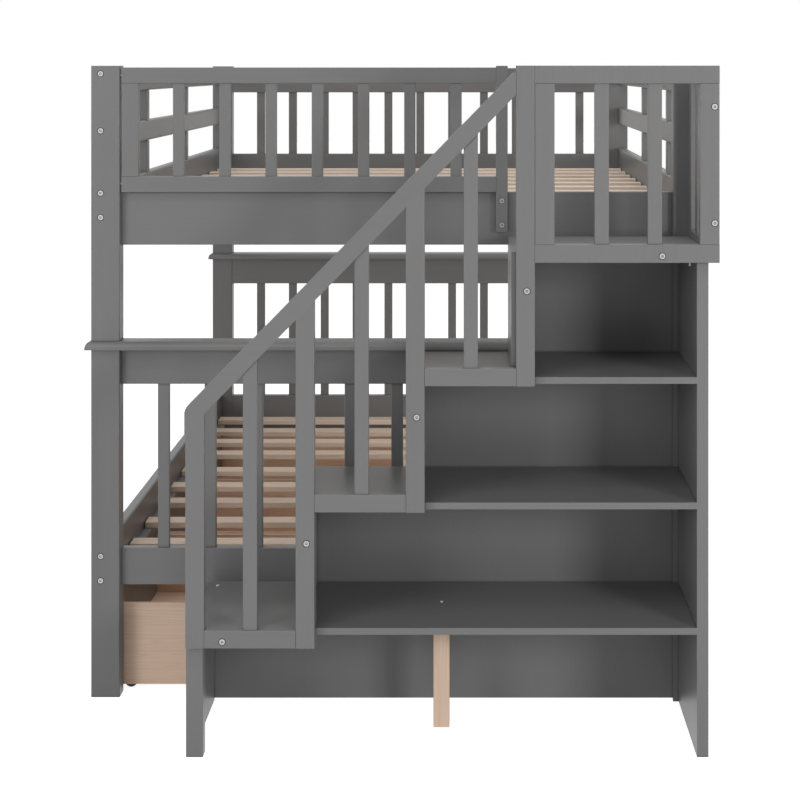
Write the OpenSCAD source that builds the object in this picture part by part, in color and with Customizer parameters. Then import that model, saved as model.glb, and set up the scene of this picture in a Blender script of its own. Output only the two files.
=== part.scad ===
// Wooden bunk bed with two full-width bunks, a storage stair across its foot end
// and three rolling drawers under the lower bunk. Millimetres, +Z up, floor at z = 0.
// X runs across the bed, Y runs from the stair at the foot end to the head end.

/* [Bed] */
// Width over the outer faces of the posts
bed_w = 1457; // [1300:1:1600]
// Clear length between the foot posts and the head posts
inner_l = 1925; // [1880:1:2020]
// Height of the upper posts above the floor
bed_h = 1505; // [1460:1:1700]
// Height of the lower posts, up to the underside of the cap boards
lower_post_h = 829; // [780:1:900]
// Width of a post across the bed
post_w = 68.5; // [56:0.5:74]
// Depth of a post along the bed
post_d = 48; // [46:1:60]
// Radius on the long edges of a post
post_round = 3; // [2:0.5:6]
// Radius on the long edges of the end rails and slats
edge_round = 2; // [1:0.5:4]
// Radius on the long edges of the side rails and side guards
rail_round = 5; // [2:0.5:6]

/* [Cap boards] */
// Thickness of a cap board
cap_t = 19.5; // [16:0.5:26]
// Distance that a cap board stands out past the posts along the bed
cap_over = 15; // [8:1:22]
// Distance that a cap board stands out past the posts across the bed
cap_over_end = 13; // [8:1:22]
// Height of the square lower edge of a cap board, below its curve
cap_lip = 3; // [2:0.5:10]

/* [Head and foot boards] */
// Thickness of the rails in the head and foot boards
end_rail_t = 24; // [18:1:24]
// Distance from the outer faces of the posts in to those rails
end_rail_inset = 22; // [20:1:22]
// Height of the board under each cap board
top_rail_h = 86.5; // [60:0.5:110]
// Height of the tops of the lower end rails above the undersides of the side rails
lower_end_up = 92; // [80:1:110]
// Height of the lower end rail at the foot end
lower_end_rail_h = 88; // [70:1:110]
// Height of the lower end rail at the head end
lower_head_rail_h = 118; // [90:1:120]
// Height of the top rail of the upper headboard
head_rail_h = 85.5; // [60:0.5:100]
// Distance from the top of the posts down to the upper headboard
head_rail_drop = 6; // [2:1:20]
// Height of the end rails of the upper bunk
upper_end_rail_h = 127; // [110:1:130]
// Drop from the underside of the upper side rails to the upper end rails
upper_end_drop = 48; // [30:1:60]
// Distance from the top of the upper foot end rail down to the top of the head end rail
head_end_step = 5; // [0:1:20]
// Number of upright slats in a head or foot board
board_slats = 11; // [7:1:12]
// Distance between the middles of two neighbouring upright slats
board_pitch = 112; // [100:0.1:116]
// Width of an upright slat
board_slat_w = 28; // [20:1:34]
// Thickness of an upright slat
board_slat_t = 14; // [10:1:18]

/* [Side rails and slats] */
// Thickness of the side rails
side_rail_t = 26.5; // [22:0.5:28]
// Height of the side rails
side_rail_h = 95; // [85:1:110]
// Distance from the outer face of a post in to the face of a side rail
side_rail_inset = 6; // [4:1:12]
// Height of the underside of the lower side rails above the floor
lower_rail_z = 258; // [256:1:300]
// Height of the underside of the upper side rails above the floor
upper_rail_z = 1124; // [1118:1:1140]
// Width of the cleats that carry the slats
cleat_w = 22; // [16:1:30]
// Height of the cleats that carry the slats
cleat_h = 12; // [10:1:20]
// Number of slats under the lower mattress
lower_slats = 10; // [8:1:10]
// Number of slats under the upper mattress
upper_slats = 11; // [8:1:11]
// Distance from one slat of the lower bunk to the next
lower_slat_pitch = 195.4; // [180:0.1:198]
// Distance from one slat of the upper bunk to the next
upper_slat_pitch = 177.6; // [160:0.1:178]
// Width of a mattress slat
slat_w = 58; // [50:1:70]
// Thickness of a mattress slat
slat_t = 16; // [12:1:20]
// Gap between the ends of the slats and the side rails
slat_gap = 3; // [2:0.5:8]
// Distance from the posts to the first slat of the lower bunk
lower_slat_start = 51; // [30:0.1:52]
// Distance from the posts to the first slat of the upper bunk
upper_slat_start = 8; // [4:1:20]
// Width of the centre beams
beam_w = 30; // [26:1:50]
// Height of the centre beams
beam_h = 45; // [40:1:50]

/* [Upper guards] */
// Height of the top rail of the side guards
guard_top_h = 61; // [50:1:70]
// Height of the middle rail of the side guards
guard_mid_h = 55; // [50:1:60]
// Distance of the middle guard rail above the middle of its gap
guard_mid_up = 2; // [0:0.5:4]
// Width of the uprights of the side guards
guard_upright_w = 36; // [24:1:44]
// Distance from the foot posts to the first upright of the left side guard
guard_upright_left = 502; // [300:1:700]
// Distance from the foot posts to the first upright of the right side guard
guard_upright_right = 407; // [300:1:700]
// Distance between the two uprights of the side guards
guard_upright_pitch = 657; // [500:1:800]
// Height of the top and bottom rails of the foot guard
foot_guard_rail_h = 38; // [30:1:46]
// Thickness of the foot guard
foot_guard_t = 20; // [18:1:22]
// Gap between the foot guard and the post on its left
foot_guard_gap = 4; // [2:0.5:6]
// Width of the left stile of the foot guard
foot_guard_stile_w = 40; // [36:1:50]
// Width of an upright slat of the foot guard
foot_guard_slat_w = 27; // [18:1:30]
// Number of upright slats in the foot guard
foot_guard_slats = 7; // [5:1:7]
// Distance between the middles of two of those slats
foot_guard_pitch = 110.4; // [100:0.1:112]
// Width of the end stile beside the way in
end_stile_w = 28; // [24:1:40]
// Distance from the middle of the bed to the way in
way_in_x = 265; // [220:1:300]

/* [Stair] */
// Depth of the stair cabinet along the bed
stair_d = 348; // [300:1:420]
// Distance from the right face of the bed in to the stair cabinet
stair_inset = 34.5; // [28:0.5:38]
// Thickness of the right side panel
side_panel_t = 25; // [18:1:32]
// Thickness of the treads and the platform
tread_t = 14.5; // [14:0.5:22]
// Height of the platform above the floor
platform_z = 1100; // [1090:1:1110]
// Height of one step
rise = 273; // [255:1:280]
// Length of one step
going = 238.5; // [225:0.5:245]
// Distance from the left edge of the platform to the post in front of it
platform_out = 9.5; // [6:0.5:12]
// Thickness of the upright panel under the left end of each upper step
step_side_t = 16; // [12:1:18]
// Thickness of the side panel at the left end of the stair
left_panel_t = 13; // [10:1:16]
// Width of the front leg at the left end of the stair
front_leg_w = 37; // [30:0.5:40]
// Width of the battens beside the upright panels
batten_w = 24; // [20:1:24]
// Depth of the front leg and of those battens
batten_d = 34; // [28:1:44]
// Thickness of the corner batten and of the block under the first tread
corner_batten = 13; // [10:1:20]
// Thickness of the back panel
back_t = 5; // [4:0.5:9]
// Clearance under the back panel
back_lift = 6; // [4:1:14]
// Width of the square wooden leg under the first tread
centre_leg_w = 36.5; // [30:0.5:44]
// Distance from the front of the stair back to the wooden leg
centre_leg_back = 172; // [120:1:240]
// Distance from the middle of the bed to the wooden leg
centre_leg_x = 110; // [60:1:160]

/* [Stair guard] */
// Thickness of the stair guard
guard_t = 24; // [20:1:30]
// Width of the stair guard posts
guard_post_w = 41; // [34:1:46]
// Width of the stair guard slats
guard_slat_w = 31; // [24:1:36]
// Thickness of the stair guard slats
guard_slat_t = 18; // [14:1:20]
// Height of the rails at the foot of the stair guard
guard_rail_h = 39; // [32:1:44]
// Upright height of the handrail across its slope
handrail_h = 54; // [44:1:64]
// Rise of the handrail for each millimetre of run
handrail_slope = 1.0225; // [0.96:0.0005:1.06]
// Height of the lower corner of the handrail above the floor
handrail_z = 708; // [690:1:720]
// Distance between the middles of the two slats in the front of the platform guard
platform_slat_pitch = 115; // [100:1:120]
// Distance from the middle of the platform guard to the middle between those slats
platform_slat_shift = 2.5; // [-6:0.5:6]
// Thickness of the side part of the platform guard
platform_side_t = 21; // [20:1:30]
// Distance from the underside of the platform down to the foot of its guard
platform_guard_drop = 7.5; // [2:0.5:12]
// Width of the stiles of the platform guard
platform_stile_w = 42.5; // [34:0.5:46]

/* [Drawers] */
// Length of the two end drawers along the bed
drawer_l = 632; // [560:1:700]
// Gap between the middle drawer, which fills the length that is left, and the end drawers
drawer_apart = 9.5; // [5:0.5:20]
// Clearance between the backs of the drawers and the centre leg
drawer_leg_gap = 27; // [10:1:150]
// Height of the walls of a drawer box
drawer_wall_h = 195; // [160:1:200]
// Thickness of the walls of a drawer box
drawer_wall_t = 12; // [10:1:16]
// Thickness of a drawer front
drawer_front_t = 20; // [16:1:24]
// Height of a drawer front
drawer_front_h = 237; // [210:1:240]
// Height of the drawer box above the floor
drawer_lift = 13; // [8:1:13]
// Height of the drawer floor above the underside of its walls
drawer_floor_up = 31; // [29:1:45]
// Thickness of the drawer floor
drawer_floor_t = 6; // [4:0.5:9]
// Distance that a drawer front stands out past each end of its box
drawer_lap = 2; // [0:0.5:3]
// Gap between the end drawers and the posts beside them
drawer_gap = 5; // [4:0.5:12]
// Radius of a drawer wheel
wheel_r = 15; // [14:0.5:16]
// Width of a drawer wheel
wheel_w = 12; // [8:1:16]
// Radius of the pin of a wheel
wheel_pin_r = 2.5; // [2:0.1:3.5]

/* [Fasteners] */
// Radius of a bolt shank
bolt_r = 3; // [2.5:0.5:4]
// Radius of a bolt head
bolt_head_r = 6.5; // [6:0.5:7]
// Height of a bolt head
bolt_head_h = 3; // [2:0.5:4]
// Depth to which a bolt head is let into the wood
bolt_sink = 2.5; // [0.5:0.5:2.5]
// Radius of a barrel nut
nut_r = 5; // [5:0.5:6]
// Radius of the pins that join the upper posts to the lower posts
bunk_pin_r = 5; // [4:0.5:6]
// Length of the pins that join the upper posts to the lower posts
bunk_pin_l = 110; // [80:1:140]
// Radius of the pins that hold the foot guard to the post
guard_pin_r = 4; // [3:0.5:5]

/* [Hidden] */
$fn = 48;

grey_paint = [0.44, 0.44, 0.44];
bare_wood = [0.80, 0.68, 0.56];
steel = [0.75, 0.75, 0.76];
wheel_plastic = [0.20, 0.17, 0.15];

// Small clearances
hole_gap = 0.5;
fit_gap = 0.3;
glue_gap = 0.2;
run_gap = 0.06;
past = 1;

// Places along the bed, counted from the front faces of the foot posts
foot_in = post_d;
head_in = foot_in + inner_l;
head_out = head_in + post_d;
bed_middle = (foot_in + head_in) / 2;
stair_back = -cap_over;
stair_front = stair_back - stair_d;
guard_front = stair_front - guard_t;
stair_board_back = stair_back - back_t;
frame_y = (guard_front - (bolt_head_h - bolt_sink) + head_out + cap_over) / 2;

// Places across the bed
post_out = bed_w / 2;
post_in = post_out - post_w;
rail_out = post_out - side_rail_inset;
rail_in = rail_out - side_rail_t;
bolt_line = rail_in + 9.5;

// Heights
cap_top = lower_post_h + cap_t;
lower_rail_top = lower_rail_z + side_rail_h;
upper_rail_top = upper_rail_z + side_rail_h;
lower_slat_z = lower_rail_z + cleat_h;
upper_slat_z = upper_rail_z + cleat_h;
lower_end_top = lower_rail_z + lower_end_up;
upper_end_z = upper_rail_z - upper_end_drop;
upper_end_top = upper_end_z + upper_end_rail_h;
head_end_top = upper_end_top - head_end_step;
top_rail_z = lower_post_h - top_rail_h;
foot_guard_top = bed_h - 4;
guard_top_z = bed_h - 4 - guard_top_h;
mid_rail_z = (upper_rail_top + guard_top_z - guard_mid_h) / 2 + guard_mid_up;

// The rails of the head and foot boards are set back from the faces of the posts
foot_rail_y = end_rail_inset;
head_rail_y = head_out - end_rail_inset - end_rail_t;
foot_guard_y = foot_rail_y - foot_guard_t;
foot_guard_x = -post_in + foot_guard_gap;

// The lower slats lie loose, each this far towards the head end from its even place
lower_slat_shift = [0, 0, 15, 31, 21, 19, 54, 31, 7, 1];

// Bolt holes
hole_r = bolt_r + hole_gap;
sink_r = bolt_head_r + 1.5;
bolt_low = 19.5;
bolt_pitch = 58;
guard_bolt_up = 46;
bolt_reach = 34;
nut_back = 26;
guard_bolt_in = 16;
guard_bolt_down = 83;
platform_bolt_in = 124;
end_stile_down = 94;
end_stile_bolt_1 = 20;
end_stile_bolt_2 = 78;
rail_bolt_in = 80;
rail_bolt_down = 8;

// Stair: the four step fronts from the floor up, and their treads
stair_right = post_out - stair_inset;
stair_in = stair_right - side_panel_t;
guard_x = [for (i = [0 : 3]) way_in_x + platform_out - (3 - i) * going];
step_x = [for (i = [0 : 3]) i == 3 ? way_in_x : i == 0 ? guard_x[0] - 3.5 : guard_x[i]];
tread_top = [for (i = [0 : 3]) platform_z - (3 - i) * rise];
function tread_under(i) = tread_top[i] - tread_t;
guard_foot = [for (i = [0 : 3]) tread_top[i] - (i == 0 ? 37 : 16)];
guard_slat_shift = [0, 3, 1];

// Handrail: its lower edge starts 2 mm to the left of the first guard post
handrail_x0 = guard_x[0] - 2;
handrail_x1 = guard_x[3];
function handrail_under(x) = handrail_z + handrail_slope * (x - handrail_x0);
function handrail_over(x) = handrail_under(x) + handrail_h;
handrail_nose_r = 8;

// Platform guard, level with the tops of the bed's posts
platform_guard_top = bed_h;
platform_guard_x = guard_x[3] + guard_post_w;
platform_guard_right = stair_right + platform_side_t;
platform_guard_z = tread_under(3) - platform_guard_drop;

// Drawers
drawer_front_out = rail_out - 10.5;
drawer_front_in = drawer_front_out - drawer_front_t;
drawer_back = beam_w / 2 + drawer_leg_gap;
drawer_floor_z = drawer_lift + drawer_floor_up;
drawer_foot_y = foot_in + drawer_gap;
drawer_middle_y = drawer_foot_y + drawer_l + drawer_apart;
drawer_head_y = head_in - drawer_gap - drawer_l;
drawer_middle_l = drawer_head_y - drawer_apart - drawer_middle_y;
groove = 5;
cheek_t = 2;
cheek_gap = 0.8;
caster_inset = 46;
caster_plate_t = 3;

// Outline of a bar with rounded edges, its corner at the origin
module rounded_rect(w, h, r) {
    translate([r, 0]) square([w - 2 * r, h]);
    translate([0, r]) square([w, h - 2 * r]);
    for (x = [r, w - r], y = [r, h - r]) translate([x, y]) circle(r);
}

// Bars between two opposite corners, rounded along their length
module bar_x(a, b, r = edge_round) {
    translate(a) rotate([90, 0, 90])
        linear_extrude(b.x - a.x) rounded_rect(b.y - a.y, b.z - a.z, r);
}

module bar_y(a, b, r = edge_round) {
    translate([a.x, b.y, a.z]) rotate([90, 0, 0])
        linear_extrude(b.y - a.y) rounded_rect(b.x - a.x, b.z - a.z, r);
}

module bar_z(a, b, r = edge_round) {
    translate(a) linear_extrude(b.z - a.z) rounded_rect(b.x - a.x, b.y - a.y, r);
}

module box(a, b) {
    translate(a) cube(b - a);
}

// Puts a piece laid out from the foot posts into the frame of the whole bed
module in_frame() {
    translate([0, -frame_y, 0]) children();
}

// Both sides of the bed, left and right
module both_sides() {
    children();
    mirror([1, 0, 0]) children();
}

// A round hole or pin along Y between two places
module rod_y(x, z, y0, y1, r) {
    translate([x, y1, z]) rotate([90, 0, 0]) cylinder(h = y1 - y0, r = r);
}

// Heights of the bolts that hold the side rails and guards, from the floor up
lower_bolt_z = [lower_rail_z + bolt_low, lower_rail_z + bolt_low + bolt_pitch];
upper_bolt_z = [
    upper_rail_z + bolt_low, upper_rail_z + bolt_low + bolt_pitch,
    mid_rail_z + guard_bolt_up, guard_top_z + guard_bolt_up
];

// Holes through a foot post for the bolts at the given heights
module foot_bolt_holes(heights) {
    for (z = heights) {
        rod_y(-bolt_line, z, -past, post_d + past, hole_r);
        rod_y(-bolt_line, z, -past, bolt_sink, sink_r);
    }
}

// The same holes through a head post
module head_bolt_holes(heights) {
    for (z = heights) {
        rod_y(-bolt_line, z, head_in - past, head_out + past, hole_r);
        rod_y(-bolt_line, z, head_out - bolt_sink, head_out + past, sink_r);
    }
}

// Upright pin between the bunks at the middle of a post, and its hole
module bunk_pin(y, gap) {
    translate([-(post_out + post_in) / 2, y + post_d / 2, lower_post_h + (cap_t - bunk_pin_l) / 2 - gap])
        cylinder(h = bunk_pin_l + 2 * gap, r = bunk_pin_r + gap);
}

// Level pins between the left foot post and the foot guard, and their holes
module guard_pins(gap) {
    for (z = [upper_end_top + 20, foot_guard_top - 20])
        translate([-post_in - 16 - gap, foot_guard_y + foot_guard_t / 2, z]) rotate([0, 90, 0])
            cylinder(h = 32 + foot_guard_gap + 2 * gap, r = guard_pin_r + gap);
}

// Lower bunk
module lower_post(y) {
    color(grey_paint) in_frame() difference() {
        bar_z([-post_out, y, 0], [-post_in, y + post_d, lower_post_h], post_round);
        if (y < foot_in) foot_bolt_holes(lower_bolt_z);
        else head_bolt_holes(lower_bolt_z);
        bunk_pin(y, run_gap);
    }
}

module upper_post(y, pinned = false) {
    color(grey_paint) in_frame() difference() {
        bar_z([-post_out, y, cap_top], [-post_in, y + post_d, bed_h], post_round);
        if (y < foot_in) foot_bolt_holes(upper_bolt_z);
        else head_bolt_holes(upper_bolt_z);
        bunk_pin(y, run_gap);
        if (pinned) guard_pins(run_gap);
    }
}

module lower_foot_posts() { both_sides() lower_post(0); }
module lower_head_posts() { both_sides() lower_post(head_in); }

// The left foot post has the holes for the pins of the foot guard
module upper_foot_posts() {
    upper_post(0, true);
    mirror([1, 0, 0]) upper_post(0);
}

module upper_head_posts() { both_sides() upper_post(head_in); }

// Section of a cap board: a square lip below, then a curve in over the given width
module cap_section(w, over) {
    edge = [for (a = [0 : 18 : 90]) [over * (1 - cos(a)), cap_lip + (cap_t - cap_lip) * sin(a)]];
    polygon(concat(
        [[0, 0], [w, 0]],
        [for (p = edge) [w - p.x, p.y]],
        [for (i = [len(edge) - 1 : -1 : 0]) edge[i]]
    ));
}

module cap_board(y) {
    long = bed_w + 2 * cap_over_end;
    wide = post_d + 2 * cap_over;
    translate([-long / 2, y - cap_over, lower_post_h]) intersection() {
        rotate([90, 0, 90]) linear_extrude(long) cap_section(wide, cap_over);
        translate([0, wide, 0]) rotate([90, 0, 0]) linear_extrude(wide) cap_section(long, cap_over_end);
    }
}

module lower_caps() {
    color(grey_paint) in_frame()
        for (y = [0, head_in]) difference() {
            cap_board(y);
            both_sides() bunk_pin(y, run_gap);
        }
}

module pins() {
    color(steel) in_frame() {
        both_sides() for (y = [0, head_in]) bunk_pin(y, 0);
        guard_pins(0);
    }
}

module lower_top_rails() {
    color(grey_paint) in_frame()
        for (y = [foot_rail_y, head_rail_y])
            bar_x([-post_in, y, top_rail_z], [post_in, y + end_rail_t, lower_post_h]);
}

module lower_end_rails() {
    color(grey_paint) in_frame() {
        bar_x([-post_in, foot_rail_y, lower_end_top - lower_end_rail_h],
            [post_in, foot_rail_y + end_rail_t, lower_end_top]);
        bar_x([-post_in, head_rail_y, lower_end_top - lower_head_rail_h],
            [post_in, head_rail_y + end_rail_t, lower_end_top]);
    }
}

// Upright slats between two rails, spread to both sides of a middle
module board_uprights(middle, pitch, y, z0, z1, count, w, t) {
    for (i = [0 : count - 1]) {
        x = middle + (i - (count - 1) / 2) * pitch - w / 2;
        bar_z([x, y, z0], [x + w, y + t, z1]);
    }
}

module lower_board_slats() {
    color(grey_paint) in_frame()
        for (y = [foot_rail_y, head_rail_y])
            board_uprights(0, board_pitch, y + (end_rail_t - board_slat_t) / 2,
                lower_end_top, top_rail_z, board_slats, board_slat_w, board_slat_t);
}

// Side rail with bolt holes in its ends and cross holes for the barrel nuts
module side_rail(z) {
    difference() {
        bar_y([-rail_out, foot_in, z], [-rail_in, head_in, z + side_rail_h], rail_round);
        rail_end_holes([z + bolt_low, z + bolt_low + bolt_pitch]);
    }
}

module rail_end_holes(heights) {
    for (h = heights) {
        rod_y(-bolt_line, h, foot_in - past, foot_in + bolt_reach + past, hole_r);
        rod_y(-bolt_line, h, head_in - bolt_reach - past, head_in + past, hole_r);
        for (y = [foot_in + nut_back, head_in - nut_back])
            nut_place(y, h) cylinder(h = side_rail_t, r = nut_r + run_gap);
    }
}

// A barrel nut lies across the rail, its end 4 mm inside the outer face
module nut_place(y, z) {
    translate([-rail_out + 4, y, z]) rotate([0, 90, 0]) children();
}

module lower_side_rails() { color(grey_paint) in_frame() both_sides() side_rail(lower_rail_z); }
module upper_side_rails() { color(grey_paint) in_frame() both_sides() side_rail(upper_rail_z); }

module slat_cleats() {
    color(grey_paint) in_frame() both_sides()
        for (z = [lower_rail_z, upper_rail_z])
            box([-rail_in, foot_in + 10, z], [-rail_in + cleat_w, head_in - 10, z + cleat_h]);
}

// Slats across the bed whose near edges are at the given places
module slat_row(z, places) {
    half = rail_in - slat_gap;
    for (y = places) {
        bar_x([-half, y, z], [half, y + slat_w, z + slat_t]);
    }
}

module lower_bed_slats() {
    color(bare_wood) in_frame() slat_row(lower_slat_z,
        [for (i = [0 : lower_slats - 1])
            foot_in + lower_slat_start + i * lower_slat_pitch + lower_slat_shift[i]]);
}

module upper_bed_slats() {
    color(bare_wood) in_frame() slat_row(upper_slat_z,
        [for (i = [0 : upper_slats - 1]) foot_in + upper_slat_start + i * upper_slat_pitch]);
}

// Beams under the middle of the slats, from end rail to end rail
module centre_beams() {
    color(bare_wood) in_frame()
        for (z = [lower_slat_z, upper_slat_z])
            bar_y([-beam_w / 2, foot_rail_y + end_rail_t, z - beam_h],
                [beam_w / 2, head_rail_y, z]);
}

module centre_leg() {
    color(bare_wood) in_frame()
        bar_z([-beam_w / 2, bed_middle - beam_w / 2, 0],
            [beam_w / 2, bed_middle + beam_w / 2, lower_slat_z - beam_h]);
}

// Upper bunk, foot end
module upper_foot_end_rail() {
    color(grey_paint) in_frame() difference() {
        bar_x([-post_in, foot_rail_y, upper_end_z],
            [post_in, foot_rail_y + end_rail_t, upper_end_top]);
        for (z = end_stile_bolt_z)
            rod_y(end_stile_mid, z, foot_rail_y - past, foot_rail_y + end_rail_t - 3, hole_r);
    }
}

end_stile_mid = way_in_x - end_stile_w / 2;
end_stile_bolt_z = [upper_end_top - end_stile_bolt_1, upper_end_top - end_stile_bolt_2];

module upper_foot_guard_rails() {
    color(grey_paint) in_frame() difference() {
        for (z = [upper_end_top, foot_guard_top - foot_guard_rail_h])
            bar_x([foot_guard_x, foot_guard_y, z],
                [way_in_x - end_stile_w, foot_rail_y, z + foot_guard_rail_h]);
        guard_pins(run_gap);
    }
}

module upper_foot_guard_uprights() {
    z0 = upper_end_top + foot_guard_rail_h;
    z1 = foot_guard_top - foot_guard_rail_h;
    stile_right = foot_guard_x + foot_guard_stile_w;
    middle = (stile_right + way_in_x - end_stile_w) / 2;
    color(grey_paint) in_frame() {
        bar_z([foot_guard_x, foot_guard_y, z0], [stile_right, foot_rail_y, z1]);
        board_uprights(middle, foot_guard_pitch, foot_guard_y + (foot_guard_t - board_slat_t) / 2,
            z0, z1, foot_guard_slats, foot_guard_slat_w, board_slat_t);
    }
}

module upper_foot_guard_end_stile() {
    color(grey_paint) in_frame() difference() {
        bar_z([way_in_x - end_stile_w, foot_guard_y, upper_end_top - end_stile_down],
            [way_in_x, foot_rail_y, bed_h]);
        for (z = end_stile_bolt_z) {
            rod_y(end_stile_mid, z, foot_guard_y - past, foot_rail_y + past, hole_r);
            rod_y(end_stile_mid, z, foot_guard_y - past, foot_guard_y + bolt_sink, sink_r);
        }
    }
}

// Upper bunk, head end
head_rail_top = bed_h - head_rail_drop;

module upper_head_top_rail() {
    color(grey_paint) in_frame()
        bar_x([-post_in, head_rail_y, head_rail_top - head_rail_h],
            [post_in, head_rail_y + end_rail_t, head_rail_top]);
}

module upper_head_slats() {
    color(grey_paint) in_frame()
        board_uprights(0, board_pitch, head_rail_y + (end_rail_t - board_slat_t) / 2,
            head_end_top, head_rail_top - head_rail_h, board_slats, board_slat_w, board_slat_t);
}

module upper_head_end_rail() {
    color(grey_paint) in_frame()
        bar_x([-post_in, head_rail_y, upper_end_z],
            [post_in, head_rail_y + end_rail_t, head_end_top]);
}

// Side guard of the upper bunk: two long rails and two uprights in three rows
module side_guard(first_upright) {
    difference() {
        union() {
            bar_y([-rail_out, foot_in, mid_rail_z],
                [-rail_in, head_in, mid_rail_z + guard_mid_h], rail_round);
            bar_y([-rail_out, foot_in, guard_top_z],
                [-rail_in, head_in, guard_top_z + guard_top_h], rail_round);
        }
        rail_end_holes([upper_bolt_z[2], upper_bolt_z[3]]);
    }
    for (y = [foot_in + first_upright, foot_in + first_upright + guard_upright_pitch]) {
        side_upright(y, upper_rail_top, mid_rail_z);
        side_upright(y, mid_rail_z + guard_mid_h, guard_top_z);
    }
}

// Upright flush with both faces of the side rails
module side_upright(y, z0, z1) {
    bar_z([-rail_out, y, z0], [-rail_in, y + guard_upright_w, z1]);
}

module upper_side_guard_left() { color(grey_paint) in_frame() side_guard(guard_upright_left); }
module upper_side_guard_right() {
    color(grey_paint) in_frame() mirror([1, 0, 0]) side_guard(guard_upright_right);
}

// Stair cabinet
module stair_side_panel() {
    color(grey_paint) in_frame()
        box([stair_in, stair_front, 0], [stair_right, stair_back, tread_under(3)]);
}

// One stepped panel behind all the treads and the platform
module stair_back_panel() {
    edge = step_x[0] + left_panel_t;
    right = stair_in - corner_batten;
    color(grey_paint) in_frame() translate([0, stair_back, 0]) rotate([90, 0, 0])
        linear_extrude(back_t) polygon([
            [right, back_lift], [edge, back_lift], [edge, tread_top[0]],
            [step_x[1], tread_top[0]], [step_x[1], tread_top[1]],
            [step_x[2], tread_top[1]], [step_x[2], tread_top[2]],
            [step_x[3], tread_top[2]], [step_x[3], tread_under(3)], [right, tread_under(3)]
        ]);
}

// Side panel at the left end, and an upright panel under each step above it
module stair_step_sides() {
    color(grey_paint) in_frame() {
        box([step_x[0], stair_front + batten_d, 0], [step_x[0] + left_panel_t, stair_back, tread_under(0)]);
        for (i = [1 : 3])
            box([step_x[i], stair_front, tread_top[i - 1]],
                [step_x[i] + step_side_t, stair_board_back, tread_under(i)]);
    }
}

// Front leg, battens beside the upright panels, corner batten and rail block
module stair_battens() {
    leg_left = step_x[0] + 1;
    leg_right = leg_left + front_leg_w;
    block_front = stair_front + corner_batten + 10;
    color(grey_paint) in_frame() {
        bar_z([leg_left, stair_front, 0], [leg_right, stair_front + batten_d, tread_under(0)]);
        for (i = [1 : 3]) difference() {
            box([step_x[i] + step_side_t + glue_gap, stair_front, tread_top[i - 1]],
                [step_x[i] + step_side_t + batten_w, stair_front + batten_d, tread_under(i)]);
            stair_bolt_hole(guard_bolt_x(i), guard_bolt_z(i));
        }
        difference() {
            box([leg_right + glue_gap, stair_front, guard_foot[0]],
                [guard_x[1], block_front, tread_under(0)]);
            stair_bolt_hole(rail_bolt.x, rail_bolt.y);
        }
        box([stair_in - corner_batten, stair_back - corner_batten, 0],
            [stair_in, stair_back, tread_under(3)]);
    }
}

// Hole in the front of the stair for the far end of a guard bolt
module stair_bolt_hole(x, z) {
    rod_y(x, z, stair_front - past, stair_front + guard_bolt_in + past, hole_r);
}

function guard_bolt_x(i) = guard_x[i] + 23.5;
function guard_bolt_z(i) = tread_top[i] - guard_bolt_down;
rail_bolt = [guard_x[0] + rail_bolt_in, tread_under(0) - rail_bolt_down];

module stair_centre_leg() {
    y = stair_front + centre_leg_back;
    color(bare_wood) in_frame()
        bar_z([centre_leg_x - centre_leg_w / 2, y, 0],
            [centre_leg_x + centre_leg_w / 2, y + centre_leg_w, tread_under(0)]);
}

// A tread runs on to the side panel as a shelf, notched for the corner batten
module tread(i) {
    notch = corner_batten + fit_gap;
    color(grey_paint) in_frame() difference() {
        box([step_x[i], stair_front, tread_under(i)], [stair_in, stair_board_back, tread_top[i]]);
        box([stair_in - notch, stair_back - notch, tread_under(i) - past],
            [stair_in + past, stair_back, tread_top[i] + past]);
    }
}

module tread_1() { tread(0); }
module tread_2() { tread(1); }
module tread_3() { tread(2); }

// The platform lies on the side panel, the last upright panel and the back panel
module platform() {
    color(grey_paint) in_frame() difference() {
        box([step_x[3], stair_front, tread_under(3)], [stair_right, stair_back, tread_top[3]]);
        stair_bolt_hole(platform_bolt.x, platform_bolt.y);
    }
}

platform_bolt = [platform_guard_right - platform_bolt_in, tread_top[3] - tread_t / 2];

// Stair guard: posts and slats cut to the slope of the handrail
module under_handrail() {
    intersection() {
        children();
        translate([0, stair_front + past, 0]) rotate([90, 0, 0]) linear_extrude(guard_t + 2 * past)
            polygon([
                [handrail_x0 - past, 0], [handrail_x1, 0], [handrail_x1, handrail_under(handrail_x1)],
                [handrail_x0 - past, handrail_under(handrail_x0 - past)]
            ]);
    }
}

module guard_bolt_hole(x, z) {
    rod_y(x, z, guard_front - past, stair_front + past, hole_r);
    rod_y(x, z, guard_front - past, guard_front + bolt_sink, sink_r);
}

module stair_guard_posts() {
    color(grey_paint) in_frame() {
        for (i = [0 : 2]) difference() {
            under_handrail()
                bar_z([guard_x[i], guard_front, guard_foot[max(i - 1, 0)]],
                    [guard_x[i] + guard_post_w, stair_front, bed_h]);
            if (i > 0) guard_bolt_hole(guard_bolt_x(i), guard_bolt_z(i));
        }
        difference() {
            bar_z([guard_x[3], guard_front, guard_foot[2]],
                [guard_x[3] + guard_post_w, stair_front, bed_h]);
            guard_bolt_hole(guard_bolt_x(3), guard_bolt_z(3));
        }
    }
}

module stair_guard_slats() {
    color(grey_paint) in_frame() under_handrail()
        for (i = [0 : 2]) {
            x = (guard_x[i] + guard_post_w + guard_x[i + 1] - guard_slat_w) / 2 + guard_slat_shift[i];
            y = guard_front + (guard_t - guard_slat_t) / 2;
            bar_z([x, y, guard_foot[i] + guard_rail_h], [x + guard_slat_w, y + guard_slat_t, bed_h]);
        }
}

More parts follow.
